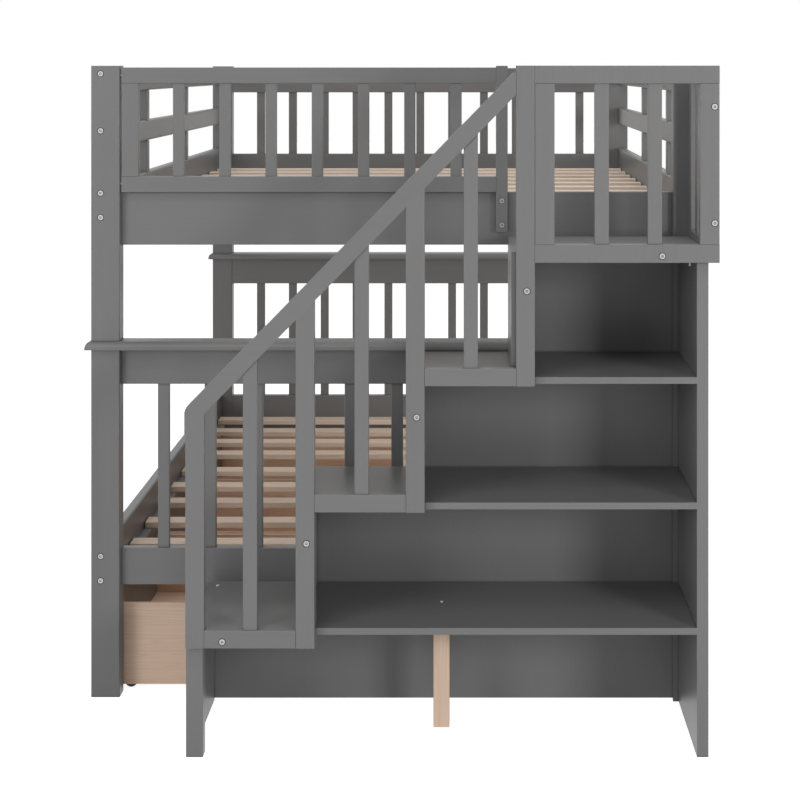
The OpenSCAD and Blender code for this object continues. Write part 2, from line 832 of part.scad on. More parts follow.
module stair_guard_rails() {
    color(grey_paint) in_frame()
        for (i = [0 : 2]) difference() {
            bar_x([guard_x[i] + guard_post_w, guard_front, guard_foot[i]],
                [guard_x[i + 1], stair_front, guard_foot[i] + guard_rail_h]);
            if (i == 0) guard_bolt_hole(rail_bolt.x, rail_bolt.y);
        }
}

// Points of the handrail's rounded upper corner at x, on the side that dir points away from
function handrail_nose(x, dir) = [
    for (a = [0 : 22.5 : 90]) let (in = handrail_nose_r * (1 - cos(a)))
        [x + dir * in, handrail_over(x + dir * in) - handrail_nose_r * (1 - sin(a))]
];

module stair_handrail() {
    left = handrail_nose(handrail_x0, 1);
    color(grey_paint) in_frame()
        translate([0, stair_front, 0]) rotate([90, 0, 0]) linear_extrude(guard_t) polygon(concat(
            [[handrail_x0, handrail_under(handrail_x0)], [handrail_x1, handrail_under(handrail_x1)]],
            handrail_nose(handrail_x1, -1),
            [for (i = [len(left) - 1 : -1 : 0]) left[i]]
        ));
}

// Guard round the platform: a front frame and a side frame behind its right stile
guard_rail_2_z = platform_guard_top - guard_rail_h;
side_guard_bolts = [platform_guard_z + guard_rail_h + 47, guard_rail_2_z - 50];

module platform_front_guard() {
    x0 = platform_guard_x;
    x1 = platform_guard_right;
    z0 = platform_guard_z + guard_rail_h + 1;
    color(grey_paint) in_frame() {
        difference() {
            bar_x([x0, guard_front, platform_guard_z], [x1, stair_front, z0]);
            guard_bolt_hole(platform_bolt.x, platform_bolt.y);
        }
        bar_x([x0, guard_front, guard_rail_2_z], [x1, stair_front, platform_guard_top]);
        bar_z([x0, guard_front, z0], [x0 + platform_stile_w, stair_front, guard_rail_2_z]);
        difference() {
            bar_z([x1 - platform_stile_w, guard_front, z0], [x1, stair_front, guard_rail_2_z]);
            for (z = side_guard_bolts) guard_bolt_hole(x1 - platform_side_t / 2, z);
        }
        board_uprights((x0 + x1) / 2 + platform_slat_shift, platform_slat_pitch,
            guard_front + (guard_t - guard_slat_t) / 2, z0, guard_rail_2_z, 2, guard_slat_w, guard_slat_t);
    }
}

module platform_side_guard() {
    x0 = stair_right;
    x1 = platform_guard_right;
    z0 = platform_guard_z + guard_rail_h + 1;
    y0 = stair_front;
    y1 = stair_back;
    clear = (y1 - y0 - 2 * guard_post_w - 2 * guard_slat_w) / 3;
    color(grey_paint) in_frame() {
        bar_y([x0, y0, platform_guard_z], [x1, y1, z0]);
        bar_y([x0, y0, guard_rail_2_z], [x1, y1, platform_guard_top]);
        bar_z([x0, y1 - guard_post_w, z0], [x1, y1, guard_rail_2_z]);
        difference() {
            bar_z([x0, y0, z0], [x1, y0 + guard_post_w, guard_rail_2_z]);
            for (z = side_guard_bolts)
                stair_bolt_hole(x1 - platform_side_t / 2, z);
        }
        for (i = [0, 1]) {
            y = y0 + guard_post_w + clear + i * (guard_slat_w + clear);
            slat_x = x0 + (platform_side_t - guard_slat_t) / 2;
            bar_z([slat_x, y, z0], [slat_x + guard_slat_t, y + guard_slat_w, guard_rail_2_z]);
        }
    }
}

// A bolt along +Y whose head is let into the face at y, with a hexagon socket
module bolt(x, y, z, reach) {
    translate([x, y, z]) rotate([-90, 0, 0]) {
        difference() {
            translate([0, 0, bolt_sink - bolt_head_h]) cylinder(h = bolt_head_h, r = bolt_head_r);
            translate([0, 0, bolt_sink - bolt_head_h - past])
                cylinder(h = past + bolt_head_h * 0.6, r = bolt_head_r * 0.45, $fn = 6);
        }
        translate([0, 0, bolt_sink]) cylinder(h = reach - bolt_sink, r = bolt_r);
    }
}

module bolts() {
    rail_bolt_l = post_d + bolt_reach;
    guard_bolt_l = guard_t + guard_bolt_in;
    color(steel) in_frame() {
        both_sides() for (z = concat(lower_bolt_z, upper_bolt_z)) {
            bolt(-bolt_line, 0, z, rail_bolt_l);
            translate([0, head_out, 0]) mirror([0, 1, 0]) bolt(-bolt_line, 0, z, rail_bolt_l);
        }
        for (z = end_stile_bolt_z)
            bolt(end_stile_mid, foot_guard_y, z, foot_guard_t + end_rail_t - 5);
        for (i = [1 : 3]) bolt(guard_bolt_x(i), guard_front, guard_bolt_z(i), guard_bolt_l);
        bolt(rail_bolt.x, guard_front, rail_bolt.y, guard_bolt_l);
        bolt(platform_bolt.x, guard_front, platform_bolt.y, guard_bolt_l);
        for (z = side_guard_bolts)
            bolt(platform_guard_right - platform_side_t / 2, guard_front, z, guard_bolt_l);
    }
}

// Barrel nuts in the ends of the side rails and guard rails
module barrel_nuts() {
    color(steel) in_frame() both_sides()
        for (z = concat(lower_bolt_z, upper_bolt_z), y = [foot_in + nut_back, head_in - nut_back])
            difference() {
                nut_place(y, z) cylinder(h = side_rail_t - 6, r = nut_r);
                rod_y(-bolt_line, z, y - 2 * nut_r, y + 2 * nut_r, bolt_r + run_gap);
            }
}

// Drawers: y is the side of the drawer that faces the foot end, l its length along the bed
module drawer_front(y, l = drawer_l) {
    color(grey_paint) in_frame() difference() {
        bar_y([-drawer_front_out, y - drawer_lap, drawer_lift],
            [-drawer_front_in, y + l + drawer_lap, drawer_lift + drawer_front_h]);
        translate([-drawer_front_out - past, y + l / 2, drawer_lift + drawer_front_h + 38])
            rotate([0, 90, 0]) cylinder(h = drawer_front_t + 2 * past, r = 62, $fn = 96);
    }
}

// Three walls butted together, with a groove for the drawer floor
module drawer_box(y, l = drawer_l) {
    z0 = drawer_lift;
    z1 = drawer_lift + drawer_wall_h;
    x0 = -drawer_front_in;
    x1 = -drawer_back;
    color(bare_wood) in_frame() difference() {
        union() {
            box([x0, y, z0], [x1, y + drawer_wall_t, z1]);
            box([x0, y + l - drawer_wall_t, z0], [x1, y + l, z1]);
            box([x1 - drawer_wall_t, y + drawer_wall_t - past, z0],
                [x1, y + l - drawer_wall_t + past, z1]);
        }
        box([x0 - past, y + drawer_wall_t - groove, drawer_floor_z - fit_gap],
            [x1 - drawer_wall_t + groove, y + l - drawer_wall_t + groove,
                drawer_floor_z + drawer_floor_t + fit_gap]);
    }
}

module drawer_bottom(y, l = drawer_l) {
    color(bare_wood) in_frame()
        box([-drawer_front_in, y + drawer_wall_t - groove + fit_gap, drawer_floor_z - fit_gap],
            [-drawer_back - drawer_wall_t + groove - fit_gap,
                y + l - drawer_wall_t + groove - fit_gap, drawer_floor_z + drawer_floor_t - fit_gap]);
}

// Places of the wheels: front and rear pairs, each pair on one line along Y
wheel_front_x = -drawer_front_in + caster_inset;
wheel_rear_x = -drawer_back - caster_inset;
caster_half = wheel_w / 2 + cheek_gap + cheek_t;
function wheel_y(y, l) = [
    y + drawer_wall_t + 1 + caster_half, y + l - drawer_wall_t - 1 - caster_half
];
wheel_z = wheel_r;
plate_top = drawer_floor_z - fit_gap;

module caster(x, y) {
    cheek_r = 7;
    plate_half = 17;
    translate([x, y, 0]) difference() {
        union() {
            box([-plate_half, -caster_half, plate_top - caster_plate_t],
                [plate_half, caster_half, plate_top]);
            for (side = [-1, 1]) translate([0, side * (caster_half - cheek_t / 2), 0]) {
                rod_y(0, wheel_z, -cheek_t / 2, cheek_t / 2, cheek_r);
                box([-cheek_r, -cheek_t / 2, wheel_z], [cheek_r, cheek_t / 2, plate_top - past]);
            }
            rod_y(0, wheel_z, -caster_half, caster_half, wheel_pin_r);
        }
    }
}

module drawer_casters(y, l = drawer_l) {
    color(steel) in_frame()
        for (x = [wheel_front_x, wheel_rear_x], wy = wheel_y(y, l)) caster(x, wy);
}

// A wheel with rounded rims and a running bore
module wheel() {
    rim = 2;
    bore = wheel_pin_r + run_gap;
    rotate([90, 0, 0]) rotate_extrude($fn = 64) difference() {
        union() {
            translate([bore, -wheel_w / 2]) square([wheel_r - rim - bore, wheel_w]);
            translate([bore, -wheel_w / 2 + rim]) square([wheel_r - bore, wheel_w - 2 * rim]);
            for (z = [-1, 1]) translate([wheel_r - rim, z * (wheel_w / 2 - rim)]) circle(rim);
        }
    }
}

module wheel_pair(x, y, l = drawer_l) {
    color(wheel_plastic) in_frame()
        for (wy = wheel_y(y, l)) translate([x, wy, wheel_z]) wheel();
}

module drawer_foot_front() { drawer_front(drawer_foot_y); }
module drawer_foot_box() { drawer_box(drawer_foot_y); }
module drawer_foot_bottom() { drawer_bottom(drawer_foot_y); }
module drawer_foot_casters() { drawer_casters(drawer_foot_y); }
module drawer_foot_wheels_front() { wheel_pair(wheel_front_x, drawer_foot_y); }
module drawer_foot_wheels_rear() { wheel_pair(wheel_rear_x, drawer_foot_y); }
module drawer_middle_front() { drawer_front(drawer_middle_y, drawer_middle_l); }
module drawer_middle_box() { drawer_box(drawer_middle_y, drawer_middle_l); }
module drawer_middle_bottom() { drawer_bottom(drawer_middle_y, drawer_middle_l); }
module drawer_middle_casters() { drawer_casters(drawer_middle_y, drawer_middle_l); }
module drawer_middle_wheels_front() { wheel_pair(wheel_front_x, drawer_middle_y, drawer_middle_l); }
module drawer_middle_wheels_rear() { wheel_pair(wheel_rear_x, drawer_middle_y, drawer_middle_l); }
module drawer_head_front() { drawer_front(drawer_head_y); }
module drawer_head_box() { drawer_box(drawer_head_y); }
module drawer_head_bottom() { drawer_bottom(drawer_head_y); }
module drawer_head_casters() { drawer_casters(drawer_head_y); }
module drawer_head_wheels_front() { wheel_pair(wheel_front_x, drawer_head_y); }
module drawer_head_wheels_rear() { wheel_pair(wheel_rear_x, drawer_head_y); }

lower_foot_posts();
lower_head_posts();
lower_caps();
lower_top_rails();
lower_board_slats();
lower_end_rails();
lower_side_rails();
lower_bed_slats();
upper_foot_posts();
upper_head_posts();
pins();
upper_foot_end_rail();
upper_foot_guard_rails();
upper_foot_guard_uprights();
upper_foot_guard_end_stile();
upper_head_top_rail();
upper_head_slats();
upper_head_end_rail();
upper_side_rails();
upper_side_guard_left();
upper_side_guard_right();
upper_bed_slats();
slat_cleats();
centre_beams();
centre_leg();
stair_side_panel();
stair_back_panel();
stair_step_sides();
stair_battens();
stair_centre_leg();
tread_1();
tread_2();
tread_3();
platform();
stair_guard_posts();
stair_guard_slats();
stair_guard_rails();
stair_handrail();
platform_front_guard();
platform_side_guard();
bolts();
barrel_nuts();
drawer_foot_front();
drawer_foot_box();
drawer_foot_bottom();
drawer_foot_casters();
drawer_foot_wheels_front();
drawer_foot_wheels_rear();
drawer_middle_front();
drawer_middle_box();
drawer_middle_bottom();
drawer_middle_casters();
drawer_middle_wheels_front();
drawer_middle_wheels_rear();
drawer_head_front();
drawer_head_box();
drawer_head_bottom();
drawer_head_casters();
drawer_head_wheels_front();
drawer_head_wheels_rear();
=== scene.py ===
"""Bunk bed with a storage stair: satin grey paint over wood grain, pale bare wood, steel
fittings and dark wheels, under soft studio light, seen from the foot end."""

import math

import bmesh
import bpy
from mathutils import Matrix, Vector


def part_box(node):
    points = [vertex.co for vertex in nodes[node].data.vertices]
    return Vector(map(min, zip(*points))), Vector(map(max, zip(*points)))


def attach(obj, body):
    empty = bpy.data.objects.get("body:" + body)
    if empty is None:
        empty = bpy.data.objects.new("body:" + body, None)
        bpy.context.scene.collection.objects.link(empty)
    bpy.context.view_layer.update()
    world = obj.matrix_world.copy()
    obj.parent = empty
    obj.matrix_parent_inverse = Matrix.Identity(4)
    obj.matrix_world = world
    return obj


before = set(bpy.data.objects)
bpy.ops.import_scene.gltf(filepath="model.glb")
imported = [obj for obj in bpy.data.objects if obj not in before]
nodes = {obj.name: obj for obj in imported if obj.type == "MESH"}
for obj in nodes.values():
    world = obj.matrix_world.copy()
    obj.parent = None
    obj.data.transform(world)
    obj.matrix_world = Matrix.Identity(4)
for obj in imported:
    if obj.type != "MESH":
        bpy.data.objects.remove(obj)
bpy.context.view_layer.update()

# Colours as linear values, levels in plain numbers, lengths in metres
PAINT = (0.185, 0.184, 0.185)
PALE_WOOD = (0.86, 0.64, 0.49)
DARK_GRAIN = (0.60, 0.43, 0.31)
SLAT_WOOD = (0.88, 0.72, 0.59)
DARK_SLAT = (0.64, 0.48, 0.36)
SCREW = (0.70, 0.70, 0.71)
STEEL = (0.42, 0.42, 0.43)
DARK_STEEL = (0.30, 0.29, 0.28)
WHEEL = (0.040, 0.030, 0.024)
FLOOR_GREY = (0.80, 0.80, 0.80)
BACKGROUND = (1.0, 1.0, 1.0)
FLOOR_LEVEL = 0.90              # of the floor where the camera or a reflection sees it
BACKGROUND_LEVEL = 1.0          # of the world there
AMBIENT_LEVEL = 0.16            # of the world where it lights the object

# The photograph: a level camera with its view shifted down and to the left
PHOTO_SIZE = 800
FOCAL_PX = 1750
PRINCIPAL_PX = (470, 67.6)
SENSOR_MM = 36
FOOT_POST_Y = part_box("lower_foot_posts")[0][1]
CAMERA_X = 0.175
CAMERA_TO_FOOT_POSTS = 4.171
CAMERA_HEIGHT = 1.5006


# Nodes

def link(tree, source, target):
    tree.links.new(source, target)


def add(tree, kind, **settings):
    node = tree.nodes.new(kind)
    for key, value in settings.items():
        setattr(node, key, value)
    return node


def empty_tree(owner):
    """The node tree of a new material or world, without the nodes it starts with."""
    owner.use_nodes = True
    owner.node_tree.nodes.clear()
    return owner.node_tree


def material(name):
    """A material that holds only its shader and its output."""
    made = bpy.data.materials.new(name)
    tree = empty_tree(made)
    shader = add(tree, "ShaderNodeBsdfPrincipled")
    output = add(tree, "ShaderNodeOutputMaterial")
    link(tree, shader.outputs["BSDF"], output.inputs["Surface"])
    return made, tree, shader


def math_node(tree, operation, a, b=None):
    node = add(tree, "ShaderNodeMath", operation=operation)
    for slot, value in enumerate((a, b)):
        if value is None:
            continue
        if isinstance(value, (int, float)):
            node.inputs[slot].default_value = value
        else:
            link(tree, value, node.inputs[slot])
    return node.outputs[0]


def plus(tree, a, b):
    return math_node(tree, "ADD", a, b)


def times(tree, a, b):
    return math_node(tree, "MULTIPLY", a, b)


def ranged(tree, value, low, high):
    """Maps a value from 0..1 to low..high."""
    node = add(tree, "ShaderNodeMapRange")
    link(tree, value, node.inputs["Value"])
    node.inputs["To Min"].default_value = low
    node.inputs["To Max"].default_value = high
    return node.outputs["Result"]


def mask(tree, value, zero_at, one_at):
    """0 where a value is at zero_at or beyond, 1 where it is at one_at or beyond."""
    node = add(tree, "ShaderNodeMapRange")
    link(tree, value, node.inputs["Value"])
    node.inputs["From Min"].default_value = zero_at
    node.inputs["From Max"].default_value = one_at
    return node.outputs["Result"]


def object_place(tree):
    return add(tree, "ShaderNodeTexCoord").outputs["Object"]


def stretched(tree, axis, across, along, offset=0.0):
    """Object coordinates stretched along the grain: cycles per metre across and along it."""
    mapping = add(tree, "ShaderNodeMapping")
    scale = [across] * 3
    scale["XYZ".index(axis)] = along
    mapping.inputs["Scale"].default_value = scale
    mapping.inputs["Location"].default_value = (offset, offset * 1.7, offset * 0.6)
    link(tree, object_place(tree), mapping.inputs["Vector"])
    return mapping.outputs["Vector"]


def shifted(tree, vector, shift):
    """Coordinates moved by the same value along all three axes."""
    joined = add(tree, "ShaderNodeCombineXYZ")
    for axis in "XYZ":
        link(tree, shift, joined.inputs[axis])
    moved = add(tree, "ShaderNodeVectorMath", operation="ADD")
    link(tree, vector, moved.inputs[0])
    link(tree, joined.outputs[0], moved.inputs[1])
    return moved.outputs[0]


def noise(tree, vector, detail=3.0, roughness=0.55, distortion=0.0):
    node = add(tree, "ShaderNodeTexNoise")
    node.inputs["Scale"].default_value = 1.0
    node.inputs["Detail"].default_value = detail
    node.inputs["Roughness"].default_value = roughness
    node.inputs["Distortion"].default_value = distortion
    link(tree, vector, node.inputs["Vector"])
    return node.outputs["Fac"]


def tinted(tree, colour, level):
    """A colour multiplied by a level that varies over the surface."""
    node = add(tree, "ShaderNodeMix", data_type="RGBA", blend_type="MULTIPLY")
    node.inputs["Factor"].default_value = 1.0
    if isinstance(colour, tuple):
        node.inputs["A"].default_value = (*colour, 1)
    else:
        link(tree, colour, node.inputs["A"])
    grey = add(tree, "ShaderNodeCombineColor")
    for channel in ("Red", "Green", "Blue"):
        link(tree, level, grey.inputs[channel])
    link(tree, grey.outputs["Color"], node.inputs["B"])
    return node.outputs["Result"]


def bumped(tree, shader, height, strength, distance):
    bump = add(tree, "ShaderNodeBump")
    bump.inputs["Strength"].default_value = strength
    bump.inputs["Distance"].default_value = distance
    link(tree, height, bump.inputs["Height"])
    link(tree, bump.outputs["Normal"], shader.inputs["Normal"])


def painted_shade_mask(tree, distance):
    """Painted shade: 1 in the open and less where another surface is close, as in a joint or a
    socket, so that a colour multiplied by it is darkened where shade falls.
    """
    near = add(tree, "ShaderNodeAmbientOcclusion", samples=4)
    near.inputs["Distance"].default_value = distance
    return near.outputs["AO"]


def edge_mask(tree, radius):
    """1 on the eased edges of a board, 0 on its flat faces."""
    bevel = add(tree, "ShaderNodeBevel", samples=6)
    bevel.inputs["Radius"].default_value = radius
    plain = add(tree, "ShaderNodeNewGeometry")
    cosine = add(tree, "ShaderNodeVectorMath", operation="DOT_PRODUCT")
    link(tree, bevel.outputs["Normal"], cosine.inputs[0])
    link(tree, plain.outputs["True Normal"], cosine.inputs[1])
    return mask(tree, cosine.outputs["Value"], zero_at=0.995, one_at=0.90)


def knot_mask(tree, vector):
    """1 inside a knot, 0 in the wood around it."""
    cells = add(tree, "ShaderNodeTexVoronoi", feature="F1")
    cells.inputs["Scale"].default_value = 1.0
    cells.inputs["Randomness"].default_value = 1.0
    link(tree, vector, cells.inputs["Vector"])
    return mask(tree, cells.outputs["Distance"], zero_at=0.10, one_at=0.03)


# Materials

PAINT_EDGE_RADIUS = 0.004
PAINT_EDGE_HIGHLIGHT = 0.05          # how much lighter the painted highlight makes the eased edges
PAINT_SHADE_REACH = 0.006        # how far from another board the painted shade reaches


def painted(axis):
    """Satin grey paint: the grain below shows faintly, with a painted highlight that makes the
    eased edges a little lighter, and painted shade that darkens the joints between the boards."""
    made, tree, shader = material(f"grey_paint_{axis.lower()}")
    grain = noise(tree, stretched(tree, axis, across=160, along=5), detail=4)
    broad = noise(tree, stretched(tree, axis, across=3.5, along=1.2, offset=4.1), detail=2)
    peel = noise(tree, stretched(tree, axis, across=700, along=500), detail=1)
    level = plus(tree, ranged(tree, grain, -0.045, 0.045), ranged(tree, broad, 0.93, 1.07))
    # Painted highlight: the colour is made lighter along the eased edges of each board.
    edge_highlight = times(tree, edge_mask(tree, PAINT_EDGE_RADIUS), PAINT_EDGE_HIGHLIGHT)
    # Painted shade: the paint's colour is darkened where another surface is close, in joints and
    # under overhangs.
    painted_shade = ranged(tree, painted_shade_mask(tree, PAINT_SHADE_REACH), 0.25, 1.0)
    level = times(tree, plus(tree, level, edge_highlight), painted_shade)
    link(tree, tinted(tree, PAINT, level), shader.inputs["Base Color"])
    rough = plus(tree, ranged(tree, grain, 0.34, 0.44), ranged(tree, broad, -0.03, 0.03))
    link(tree, rough, shader.inputs["Roughness"])
    shader.inputs["Specular IOR Level"].default_value = 0.42
    height = plus(tree, times(tree, grain, 0.8), times(tree, peel, 0.2))
    bumped(tree, shader, height, strength=0.22, distance=0.0006)
    return made


BOARD_PLACE_SPREAD = 0.02       # how far a board may start before its even place
GRAIN_STEP = 7.3                # how far the grain jumps from one board to the next


def board_number(tree, row):
    """Number of the board in a row, which is given by its axis, its start and its pitch."""
    axis, start, pitch = row
    split = add(tree, "ShaderNodeSeparateXYZ")
    link(tree, object_place(tree), split.inputs[0])
    from_start = math_node(tree, "SUBTRACT", split.outputs[axis], start - BOARD_PLACE_SPREAD)
    return math_node(tree, "FLOOR", math_node(tree, "DIVIDE", from_start, pitch))


def board_tone(tree, board):
    """A level that differs a little from one board to the next."""
    own = add(tree, "ShaderNodeTexWhiteNoise", noise_dimensions="1D")
    link(tree, plus(tree, board, 0.5), own.inputs["W"])
    return ranged(tree, own.outputs["Value"], 0.88, 1.08)


def bare(name, axis, pale=PALE_WOOD, dark=DARK_GRAIN, row=None):
    """Pale softwood: growth bands, fine fibres and a few knots. In a row of boards each one
    has its own grain and tone."""
    made, tree, shader = material(name)
    if row:
        board = board_number(tree, row)
        shift = times(tree, board, GRAIN_STEP)

    def wood_place(across, along, offset=0.0):
        place = stretched(tree, axis, across, along, offset)
        return shifted(tree, place, shift) if row else place

    bands = noise(tree, wood_place(across=30, along=1.1), detail=2, distortion=0.9)
    fibres = noise(tree, wood_place(across=420, along=9), detail=3)
    broad = noise(tree, wood_place(across=5, along=1.4, offset=2.7), detail=2)
    knots = knot_mask(tree, wood_place(across=9, along=3.2, offset=1.3))
    rings = math_node(tree, "POWER", math_node(tree, "FRACT", times(tree, bands, 9.0)), 1.6)
    darkness = plus(tree, times(tree, rings, 0.34), times(tree, knots, 0.5))
    clamped = add(tree, "ShaderNodeClamp")
    link(tree, plus(tree, darkness, ranged(tree, fibres, -0.16, 0.16)), clamped.inputs["Value"])
    mix = add(tree, "ShaderNodeMix", data_type="RGBA")
    mix.inputs["A"].default_value = (*pale, 1)
    mix.inputs["B"].default_value = (*dark, 1)
    link(tree, clamped.outputs["Result"], mix.inputs["Factor"])
    level = ranged(tree, broad, 0.90, 1.08)
    if row:
        level = times(tree, level, board_tone(tree, board))
    link(tree, tinted(tree, mix.outputs["Result"], level), shader.inputs["Base Color"])
    link(tree, ranged(tree, fibres, 0.48, 0.64), shader.inputs["Roughness"])
    shader.inputs["Specular IOR Level"].default_value = 0.35
    bumped(tree, shader, fibres, strength=0.30, distance=0.0005)
    return made


# Width of the painted shade along the rims of the bolt heads
METAL_RIM_RADIUS = 0.0012


def metal(name, colour, rough, shade_reach=0.004, painted_rim_shade=0.0):
    """Plated steel with painted shade: darker close to other surfaces and, where a rim shade is
    given, darker along its edges too.
    """
    made, tree, shader = material(name)
    grain = noise(tree, stretched(tree, "Z", across=900, along=900), detail=2)
    broad = noise(tree, stretched(tree, "Z", across=60, along=60, offset=0.7), detail=2)
    # Painted shade: the steel's colour is darkened where another surface is close.
    level = times(tree, ranged(tree, broad, 0.86, 1.10),
                  ranged(tree, painted_shade_mask(tree, shade_reach), 0.10, 1.0))
    # Painted shade: the colour is darkened along the edges, standing in for the shadow of the
    # gap round a head.
    if painted_rim_shade:
        rim_shade = times(tree, edge_mask(tree, METAL_RIM_RADIUS), painted_rim_shade)
        level = times(tree, level, math_node(tree, "SUBTRACT", 1.0, rim_shade))
    link(tree, tinted(tree, colour, level), shader.inputs["Base Color"])
    shader.inputs["Metallic"].default_value = 1.0
    link(tree, ranged(tree, grain, rough - 0.06, rough + 0.08), shader.inputs["Roughness"])
    bumped(tree, shader, grain, strength=0.08, distance=0.0002)
    return made


def plastic(name, colour):
    """Moulded plastic with a fine texture and a little dust."""
    made, tree, shader = material(name)
    grain = noise(tree, stretched(tree, "Z", across=1200, along=1200), detail=1)
    dust = noise(tree, stretched(tree, "Z", across=140, along=140, offset=1.9), detail=2)
    link(tree, tinted(tree, colour, ranged(tree, dust, 0.75, 1.35)), shader.inputs["Base Color"])
    link(tree, ranged(tree, dust, 0.42, 0.58), shader.inputs["Roughness"])
    bumped(tree, shader, grain, strength=0.15, distance=0.0002)
    return made


# The CAD nodes and their looks

def dress(names, look):
    """Gives each CAD node the look in all its material slots."""
    for name in names:
        piece = nodes[name]
        if not piece.data.materials:
            piece.data.materials.append(look)
        for slot in range(len(piece.material_slots)):
            piece.material_slots[slot].material = look


ALONG_X = [
    "lower_caps", "lower_top_rails", "lower_end_rails", "upper_foot_end_rail",
    "upper_foot_guard_rails", "upper_head_top_rail", "upper_head_end_rail",
    "tread_1", "tread_2", "tread_3", "platform", "stair_guard_rails", "stair_handrail",
]
ALONG_Y = [
    "lower_side_rails", "upper_side_rails", "upper_side_guard_left", "upper_side_guard_right",
    "slat_cleats", "drawer_foot_front", "drawer_middle_front", "drawer_head_front",
]
ALONG_Z = [
    "lower_foot_posts", "lower_head_posts", "lower_board_slats", "upper_foot_posts",
    "upper_head_posts", "upper_foot_guard_uprights", "upper_foot_guard_end_stile",
    "upper_head_slats", "stair_side_panel", "stair_back_panel", "stair_step_sides",
    "stair_battens", "stair_guard_posts", "stair_guard_slats", "platform_front_guard",
    "platform_side_guard",
]
for axis, names in (("X", ALONG_X), ("Y", ALONG_Y), ("Z", ALONG_Z)):
    dress(names, painted(axis))


SLAT_WIDTH = 0.058


def slat_row(name, count):
    """Axis, start and pitch of a row of slats, from the box of their node."""
    low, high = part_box(name)
    return "Y", low[1], (high[1] - low[1] - SLAT_WIDTH) / (count - 1)


for name, count in (("lower_bed_slats", 10), ("upper_bed_slats", 11)):
    dress([name], bare(f"wood_{name}", "X", SLAT_WOOD, DARK_SLAT, slat_row(name, count)))
dress(["centre_beams"], bare("wood_lengthwise", "Y"))
dress(["centre_leg", "stair_centre_leg"], bare("wood_upright", "Z"))
DRAWERS = ("drawer_foot", "drawer_middle", "drawer_head")
dress([f"{drawer}_bottom" for drawer in DRAWERS], bare("wood_drawer_floor", "X"))
dress([f"{drawer}_box" for drawer in DRAWERS], bare("wood_drawer_wall", "X"))
# The bolt heads get painted shade along their rims.
dress(["bolts"], metal("steel_bolts", STEEL, rough=0.36, painted_rim_shade=0.8))
dress(["pins", "barrel_nuts"], metal("steel_plain", STEEL, rough=0.38))
dress([f"{drawer}_casters" for drawer in DRAWERS],
      metal("steel_casters", DARK_STEEL, rough=0.42))
dress([name for name in nodes if "_wheels_" in name], plastic("wheel_plastic", WHEEL))


# Small fasteners that are in the scene alone

SPOKES = 48


def turned_mesh(name, place, rings, look):
    """A small turned fitting, upright at a place. Each ring is a function that gives its
    radius at an angle, and its height above the place."""
    mesh = bmesh.new()
    loops = []
    for radius, height in rings:
        loop = []
        for step in range(SPOKES):
            angle = step * math.tau / SPOKES
            out_x = radius(angle) * math.cos(angle)
            out_y = radius(angle) * math.sin(angle)
            loop.append(mesh.verts.new((place[0] + out_x, place[1] + out_y, place[2] + height)))
        loops.append(loop)
    for inner, outer in zip(loops, loops[1:]):
        for step in range(SPOKES):
            follow = (step + 1) % SPOKES
            mesh.faces.new((inner[step], outer[step], outer[follow], inner[follow]))
    mesh.faces.new(loops[0])
    mesh.faces.new(reversed(loops[-1]))
    bmesh.ops.recalc_face_normals(mesh, faces=mesh.faces)
    data = bpy.data.meshes.new(name)
    mesh.to_mesh(data)
    mesh.free()
    data.materials.append(look)
    piece = bpy.data.objects.new(name, data)
    bpy.context.scene.collection.objects.link(piece)
    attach(piece, "bed")


def circle(radius):
    return lambda angle: radius


def cross(arm, half_width):
    """Outline of a cross: the distance from its middle at an angle."""
    def reach(angle):
        off = abs((angle + math.pi / 4) % (math.pi / 2) - math.pi / 4)
        return min(arm / math.cos(off), half_width / max(math.sin(off), 1e-6))
    return reach


RECESS_ARM = 0.0024
RECESS_HALF_WIDTH = 0.0006
RECESS_TAPER = 0.8


def screw_head(name, place, look):
    """A cross-head screw, its head standing a little proud of the board."""
    turned_mesh(name, place, [
        (cross(RECESS_TAPER * RECESS_ARM, RECESS_TAPER * RECESS_HALF_WIDTH), -0.0006),
        (cross(RECESS_ARM, RECESS_HALF_WIDTH), 0.0016),
        (circle(0.0034), 0.0014),
        (circle(0.0044), 0.0008),
        (circle(0.0047), -0.0004),
    ], look)


def peg(name, place, length, look):
    """The rounded end of a fixing that stands out below a board, with a collar."""
    turned_mesh(name, place, [
        (circle(0.0012), -length),
        (circle(0.0026), 0.0007 - length),
        (circle(0.0032), 0.0023 - length),
        (circle(0.0032), -0.0030),
        (circle(0.0042), -0.0022),
        (circle(0.0042), 0.0005),
    ], look)


LEG_LOW, LEG_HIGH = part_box("stair_centre_leg")
LEG_MIDDLE = ((LEG_LOW[0] + LEG_HIGH[0]) / 2, (LEG_LOW[1] + LEG_HIGH[1]) / 2)
LEFT_SCREW = (-0.419, FOOT_POST_Y - 0.049)
TREAD_1_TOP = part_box("tread_1")[1][2]
# The screw heads get painted shade only very close to the board.
SCREW_STEEL = metal("steel_screws", SCREW, rough=0.32, shade_reach=0.001)
screw_head("screw_over_leg", (*LEG_MIDDLE, TREAD_1_TOP), SCREW_STEEL)
screw_head("screw_left_end", (*LEFT_SCREW, TREAD_1_TOP), SCREW_STEEL)

PLATFORM_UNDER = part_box("platform")[0][2]
PEG_PLACE = (0.6566, FOOT_POST_Y - 0.340)
PEG_LOWER_END = 1.0655
peg("platform_peg", (*PEG_PLACE, PLATFORM_UNDER), PLATFORM_UNDER - PEG_LOWER_END,
    metal("steel_peg", DARK_STEEL, rough=0.5))


# The studio

FLOOR_REACH = 30.0
FLOOR_DROP = 0.0005             # keeps the floor clear of the faces that stand on it


def backdrop_factor(tree):
    """1 for rays that show the background: camera, glossy and transmission rays."""
    path = add(tree, "ShaderNodeLightPath")
    seen = math_node(tree, "MAXIMUM", path.outputs["Is Camera Ray"],
                     path.outputs["Is Glossy Ray"])
    return math_node(tree, "MAXIMUM", seen, path.outputs["Is Transmission Ray"])


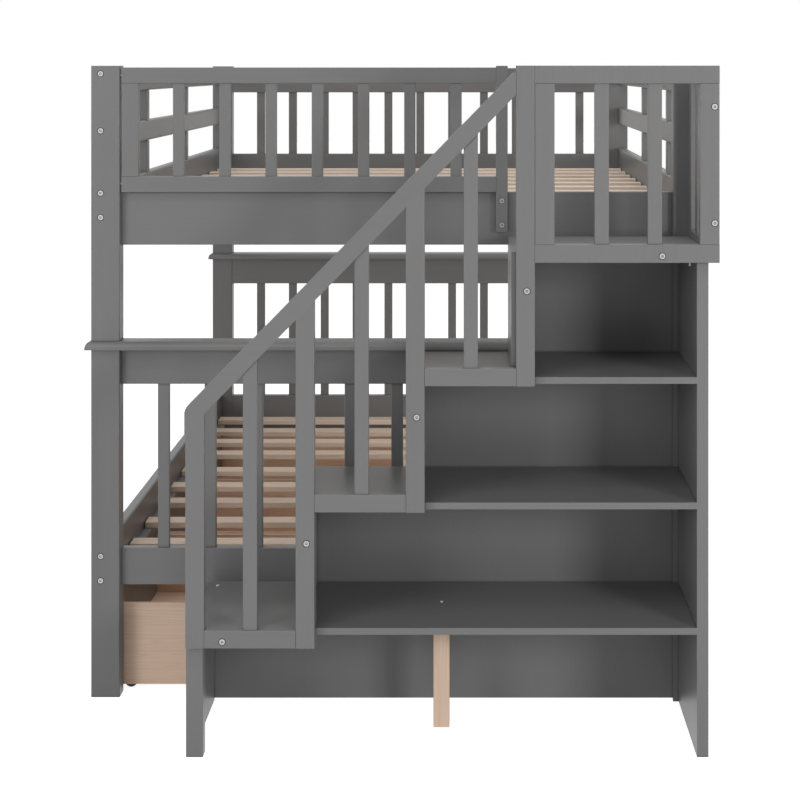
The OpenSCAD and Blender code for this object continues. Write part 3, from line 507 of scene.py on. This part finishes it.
def make_floor():
    mesh = bpy.data.meshes.new("floor")
    corners = [(x * FLOOR_REACH, y * FLOOR_REACH, 0)
               for x, y in ((-1, -1), (1, -1), (1, 1), (-1, 1))]
    mesh.from_pydata(corners, [], [(0, 1, 2, 3)])
    floor = bpy.data.objects.new("floor", mesh)
    floor.location.z = -FLOOR_DROP
    bpy.context.scene.collection.objects.link(floor)
    look = bpy.data.materials.new("floor_white")
    tree = empty_tree(look)
    diffuse = add(tree, "ShaderNodeBsdfDiffuse")
    diffuse.inputs["Color"].default_value = (*FLOOR_GREY, 1)
    glow = add(tree, "ShaderNodeEmission")
    glow.inputs["Color"].default_value = (*BACKGROUND, 1)
    link(tree, times(tree, backdrop_factor(tree), FLOOR_LEVEL), glow.inputs["Strength"])
    both = add(tree, "ShaderNodeAddShader")
    output = add(tree, "ShaderNodeOutputMaterial")
    link(tree, diffuse.outputs[0], both.inputs[0])
    link(tree, glow.outputs[0], both.inputs[1])
    link(tree, both.outputs[0], output.inputs["Surface"])
    mesh.materials.append(look)


def background(tree, level):
    node = add(tree, "ShaderNodeBackground")
    node.inputs["Color"].default_value = (*BACKGROUND, 1)
    node.inputs["Strength"].default_value = level
    return node.outputs[0]


def make_world():
    world = bpy.data.worlds.new("studio")
    tree = empty_tree(world)
    choose = add(tree, "ShaderNodeMixShader")
    output = add(tree, "ShaderNodeOutputWorld")
    link(tree, backdrop_factor(tree), choose.inputs["Fac"])
    link(tree, background(tree, AMBIENT_LEVEL), choose.inputs[1])
    link(tree, background(tree, BACKGROUND_LEVEL), choose.inputs[2])
    link(tree, choose.outputs[0], output.inputs["Surface"])
    bpy.context.scene.world = world


# Name, place, side of the square and power in watts
LAMPS = [
    ("key_right", (3.2, -4.9, 1.65), 1.1, 90),
    ("fill_left", (-3.1, -4.6, 1.9), 1.5, 54),
    ("front_above", (-1.0, -4.4, 5.0), 2.6, 60),
    ("above", (0.2, 0.6, 5.0), 3.0, 68),
]
LAMP_TARGET = (0.0, 0.0, 0.75)


def soft_light(name, place, size, power):
    """A square area lamp that faces the middle of the bed."""
    lamp = bpy.data.lights.new(name, "AREA")
    lamp.shape = "SQUARE"
    lamp.size = size
    lamp.energy = power
    holder = bpy.data.objects.new(name, lamp)
    holder.location = place
    aim = Vector(LAMP_TARGET) - Vector(place)
    holder.rotation_euler = aim.to_track_quat("-Z", "Y").to_euler()
    holder.visible_camera = False
    bpy.context.scene.collection.objects.link(holder)


def make_camera():
    lens = bpy.data.cameras.new("photo_camera")
    lens.sensor_width = SENSOR_MM
    lens.lens = FOCAL_PX / PHOTO_SIZE * SENSOR_MM
    lens.shift_x = (PHOTO_SIZE / 2 - PRINCIPAL_PX[0]) / PHOTO_SIZE
    lens.shift_y = (PRINCIPAL_PX[1] - PHOTO_SIZE / 2) / PHOTO_SIZE
    holder = bpy.data.objects.new("photo_camera", lens)
    holder.location = (CAMERA_X, FOOT_POST_Y - CAMERA_TO_FOOT_POSTS, CAMERA_HEIGHT)
    holder.rotation_euler = (math.radians(90), 0, 0)
    bpy.context.scene.collection.objects.link(holder)
    bpy.context.scene.camera = holder


make_floor()
make_world()
make_camera()
for lamp in LAMPS:
    soft_light(*lamp)
bpy.context.scene.view_settings.view_transform = "Standard"
